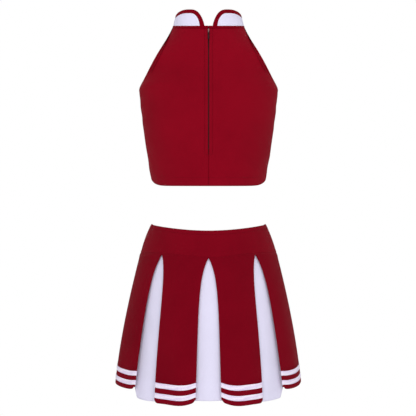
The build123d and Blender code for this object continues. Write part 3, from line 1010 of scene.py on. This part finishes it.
def make_collar_layer(name, slot, angle, points, thickness, held):
    """Two side pieces, one each side of the zip, left on no body, and a front piece that stays on the top.
    """
    material = {"white_knit": white_knit, "maroon_trim": maroon_trim}[slot]
    side_seam = int(np.searchsorted(angle, pi / 2))
    for side_name, side in SIDES:
        half = place_on_side(points[: side_seam + 1], side)
        piece = cloth(f"{name}_{side_name}", half, material, thickness)
        bend_at_fold(piece, [f"{name}_end_{side_name}"], held)
    front = points[side_seam:]
    mirrored = front[::-1][1:] * [-1, 1, 1]
    piece = cloth(f"{name}_front", np.concatenate([front, mirrored]), material, thickness)
    finish_piece(piece, "top", [name], held)


def make_collar():
    angle, height = collar_outline()
    full = np.linspace(0.006, pi, 160)
    layers = (
        ("collar_outer", "white_knit", angle, collar_sheet(angle, height, 0.0), 1.0, "stretched"),
        ("collar_lining", "white_knit", angle, collar_sheet(angle, height, 1.9), 0.5, "stretched"),
        ("collar_binding", "maroon_trim", angle, collar_binding(angle, height), 0.0, "folded"),
        ("neck_piping", "maroon_trim", full, neck_piping(full), 0.6, "folded"),
    )
    for layer in layers:
        make_collar_layer(*layer)


# -------------------- zip


def box_mesh(name, blocks, material):
    """Rounded blocks in the zip's axes, joined in one mesh; each is centre and size."""
    vertices, faces = [], []
    rings = ((-0.5, 0.72), (-0.42, 1.0), (0.42, 1.0), (0.5, 0.72))
    corners = 12
    squareness = 0.45
    for centre, size in blocks:
        base = len(vertices)
        for level, swell in rings:
            for k in range(corners):
                turn = 2 * pi * (k + 0.5) / corners
                c, s = np.cos(turn), np.sin(turn)
                x = np.sign(c) * abs(c) ** squareness * 0.5 * size[0] * swell
                y = np.sign(s) * abs(s) ** squareness * 0.5 * size[1] * mix(1.0, swell, 0.5)
                out = centre[2] + level * size[2]
                vertices.append(zip_point(centre[0] + x, centre[1] + y, out))
        for r in range(len(rings) - 1):
            low = base + r * corners
            for k in range(corners):
                t = (k + 1) % corners
                faces.append((low + k, low + t, low + corners + t, low + corners + k))
        last = base + (len(rings) - 1) * corners
        faces.append(tuple(base + k for k in reversed(range(corners))))
        faces.append(tuple(last + k for k in range(corners)))
    points = np.asarray(vertices).reshape(-1, 3)
    return make_object(name, points, faces, material, points[:, [0, 2]])


def make_coil(side_name, side):
    """The turns of one coil, half a pitch out of step with the other side's."""
    start = COIL_START + (COIL_PITCH / 2 if side < 0 else 0.0)
    places = np.arange(start, ZIP_LENGTH - 1, COIL_PITCH)
    teeth = [((side * 0.85, along, -0.9), (2.1, 0.62, 1.1)) for along in places]
    coil = box_mesh(f"zip_coil_{side_name}_teeth", teeth, coil_plastic)
    bend_at_fold(coil, [f"zip_coil_{side_name}"])


def make_tape(side_name, side):
    along = np.linspace(ZIP_LENGTH + TAPE_SPARE, -TAPE_TAIL, 180)[None, :]
    across = np.linspace(0.0, TAPE_WIDTH, 12)[:, None]
    points = place_on_side(zip_point(across, along, -TAPE_DEPTH - 0.02 * across), side)
    tape = cloth(f"zip_tape_{side_name}_cloth", points, tape_weave, 0.4)
    bend_at_fold(tape, [f"zip_tape_{side_name}"], "stretched")


def make_zip_stitching(side_name, side):
    path = torso_path(side, PLACKET, ZIP_BOTTOM - 3, ZIP_TOP - 3)
    rows = stitches(f"zip_stitching_{side_name}", path, ZIP_OUT, lift=-0.05)
    bend_at_fold(rows, [])


def make_bar_tack():
    """The close stitches across the lower end of the zip."""
    ring = 148.0
    across = np.linspace(-PLACKET, PLACKET, 20)
    path = torso_point(np.arcsin(across / ring), np.full(20, ZIP_BOTTOM - 3.0))
    rows = stitches("zip_bar_tack", path, ZIP_OUT, length=1.6, gap=0.2, radius=0.35)
    finish_piece(rows, "top", [])


def make_slider():
    """Back plate, neck, front plate, and a bridge on two posts for the pull."""
    top = ZIP_LENGTH - SLIDER_REST
    blocks = (
        ((0, top - 5.2, -2.9), (7.0, 9.6, 0.9)),
        ((0, top - 1.9, -1.2), (1.5, 3.4, 3.2)),
        ((0, top - 4.6, 0.75), (3.4, 8.2, 0.8)),
        ((0, top - 2.3, 1.7), (1.3, 1.4, 1.7)),
        ((0, top - 6.8, 1.7), (1.3, 1.4, 1.7)),
        ((0, top - 4.6, 2.7), (1.4, 6.2, 0.7)),
    )
    slider = box_mesh("zip_slider_body", blocks, slider_metal)
    finish_piece(slider, "slider", ["zip_slider"])


def make_pull_tab():
    """An eye of four bars round the slider's bridge, a long leaf and its thicker end."""
    pivot = ZIP_LENGTH - SLIDER_REST - 5.0
    blocks = (
        ((0, pivot, 1.75), (3.6, 1.0, 0.9)),
        ((-1.45, pivot - 2.4, 1.7), (0.8, 4.6, 0.8)),
        ((1.45, pivot - 2.4, 1.7), (0.8, 4.6, 0.8)),
        ((0, pivot - 5.2, 1.7), (3.9, 1.7, 0.9)),
        ((0, pivot - 11.3, 1.6), (3.2, 12.6, 0.8)),
        ((0, pivot - 17.0, 1.6), (3.8, 2.2, 1.0)),
    )
    tab = box_mesh("zip_pull_tab_leaf", blocks, pull_metal)
    finish_piece(tab, "pull_tab", ["zip_pull_tab"])


def make_zip():
    for side_name, side in SIDES:
        make_coil(side_name, side)
        make_tape(side_name, side)
        make_zip_stitching(side_name, side)
    make_bar_tack()
    make_slider()
    make_pull_tab()


def plate_stops():
    """The zip's stops keep their CAD shapes and get a metal surface."""
    stops = (("top_stop_left", slider_metal), ("top_stop_right", slider_metal), ("bottom_stop", pull_metal))
    for name, surface in stops:
        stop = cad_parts["zip_" + name]
        stop.data.materials.clear()
        stop.data.materials.append(surface)


# -------------------- camera and light


CAMERA_PLACE = (-0.0012, -1.844, 0.1015)
CAMERA_TILT = -0.033
CAMERA_LENS = 71.74
SENSOR_WIDTH = 36.0
AIM = (0, 0, 0.05)
FLOOR_SIZE = 1.2
FLOOR_Z = -1.0


def make_camera():
    camera = bpy.data.cameras.new("camera")
    camera.sensor_width = SENSOR_WIDTH
    camera.lens = CAMERA_LENS
    eye = bpy.data.objects.new("camera", camera)
    eye.location = CAMERA_PLACE
    eye.rotation_euler = (pi / 2 + CAMERA_TILT, 0, 0)
    bpy.context.scene.collection.objects.link(eye)
    bpy.context.scene.camera = eye


def make_lights():
    """Square lamps; each has a place, a size and a power."""
    lights = (
        ("key", (-0.7, -2.4, 1.3), 1.6, 26.0),
        ("fill", (1.1, -2.3, 0.5), 1.8, 18.0),
        ("rim", (0.0, 1.6, 1.8), 1.4, 8.0),
    )
    for name, place, size, power in lights:
        data = bpy.data.lights.new(name, "AREA")
        data.size = size
        data.energy = power
        lamp = bpy.data.objects.new(name, data)
        lamp.location = place
        direction = Vector(AIM) - Vector(place)
        lamp.rotation_euler = direction.to_track_quat("-Z", "Y").to_euler()
        bpy.context.scene.collection.objects.link(lamp)


def make_world():
    """A white world: full white to the camera, dimmer as a light."""
    world = bpy.context.scene.world or bpy.data.worlds.new("world")
    bpy.context.scene.world = world
    world.use_nodes = True
    tree = world.node_tree
    background = tree.nodes["Background"]
    background.inputs["Color"].default_value = (1, 1, 1, 1)
    path = tree.nodes.new("ShaderNodeLightPath")
    level = tree.nodes.new("ShaderNodeMapRange")
    level.inputs["To Min"].default_value = 0.62
    level.inputs["To Max"].default_value = 1.0
    tree.links.new(path.outputs["Is Camera Ray"], level.inputs["Value"])
    tree.links.new(level.outputs["Result"], background.inputs["Strength"])


def floor_paper(size):
    """Pale paper that brightens to the background at its edge and is clear from below."""
    n = Nodes("floor_paper")
    n.shader.inputs["Base Color"].default_value = (0.97, 0.97, 0.97, 1)
    n.shader.inputs["Roughness"].default_value = 0.9
    radius = n.add("ShaderNodeVectorMath", operation="LENGTH")
    n.link(n.coordinates("Object"), radius.inputs[0])
    edge = n.add("ShaderNodeMapRange", interpolation_type="SMOOTHSTEP")
    edge.inputs["From Min"].default_value = 0.25 * size
    edge.inputs["From Max"].default_value = 0.95 * size
    n.link(radius.outputs["Value"], edge.inputs["Value"])
    glow = n.add("ShaderNodeEmission")
    paper = n.add("ShaderNodeMixShader")
    n.link(edge.outputs["Result"], paper.inputs["Fac"])
    n.link(n.shader.outputs["BSDF"], paper.inputs[1])
    n.link(glow.outputs["Emission"], paper.inputs[2])
    face = n.add("ShaderNodeNewGeometry")
    clear = n.add("ShaderNodeBsdfTransparent")
    surface = n.add("ShaderNodeMixShader")
    n.link(face.outputs["Backfacing"], surface.inputs["Fac"])
    n.link(paper.outputs["Shader"], surface.inputs[1])
    n.link(clear.outputs["BSDF"], surface.inputs[2])
    output = next(node for node in n.tree.nodes if node.type == "OUTPUT_MATERIAL")
    n.link(surface.outputs["Shader"], output.inputs["Surface"])
    return n.material


def make_floor():
    size = FLOOR_SIZE
    sides = ((-size, -size), (size, -size), (size, size), (-size, size))
    mesh = bpy.data.meshes.new("floor")
    mesh.from_pydata([(x, y, FLOOR_Z) for x, y in sides], [], [(0, 1, 2, 3)])
    mesh.materials.append(floor_paper(size))
    floor = bpy.data.objects.new("floor", mesh)
    bpy.context.scene.collection.objects.link(floor)


make_camera()
make_lights()
make_world()
make_floor()
bpy.context.scene.view_settings.view_transform = "Standard"

for half_name, half_middle in (("back", 0.0), ("front", pi)):
    make_yoke_face(half_name, half_middle)
    make_yoke_facing(half_name, half_middle)
make_waist_elastic()
make_waist_stitching()
for unit in range(1, UNITS + 1):
    make_panel(unit)
    make_ribbons(unit)
    make_inset(unit)
for each_name, each_side in SIDES:
    make_back(each_name, each_side)
make_front()
make_hem_facings()
make_armhole_facings()
make_collar()
make_zip()
make_top_stitching()
plate_stops()
